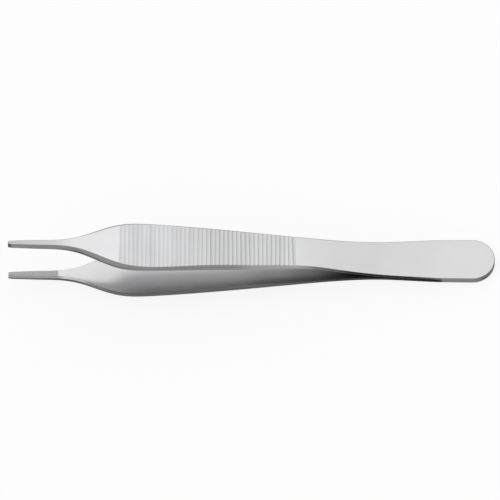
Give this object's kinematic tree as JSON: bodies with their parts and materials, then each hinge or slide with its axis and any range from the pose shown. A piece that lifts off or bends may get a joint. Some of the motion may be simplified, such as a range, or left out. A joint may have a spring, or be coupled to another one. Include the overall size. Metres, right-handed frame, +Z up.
{
  "type": "thumb forceps",
  "caption": "Slim spring-steel thumb forceps with fine straight jaws, broad grooved finger grips and a rounded butt where the two arms are joined.",
  "frame": {"origin": "middle of the footprint, on the surface that the forceps lie on", "axes": "+X from the jaw tips towards the butt, +Y across the width, +Z up, the way the jaws open"},
  "size_m": [0.1204, 0.0126, 0.0194],
  "materials": {
    "steel_upper": "satin stainless steel, ground across the grip",
    "steel_lower": "satin stainless steel, ground across the grip"
  },
  "bodies": {
    "root": {"upper_arm": "steel_upper", "lower_arm": "steel_lower"}
  },
  "joints": []
}
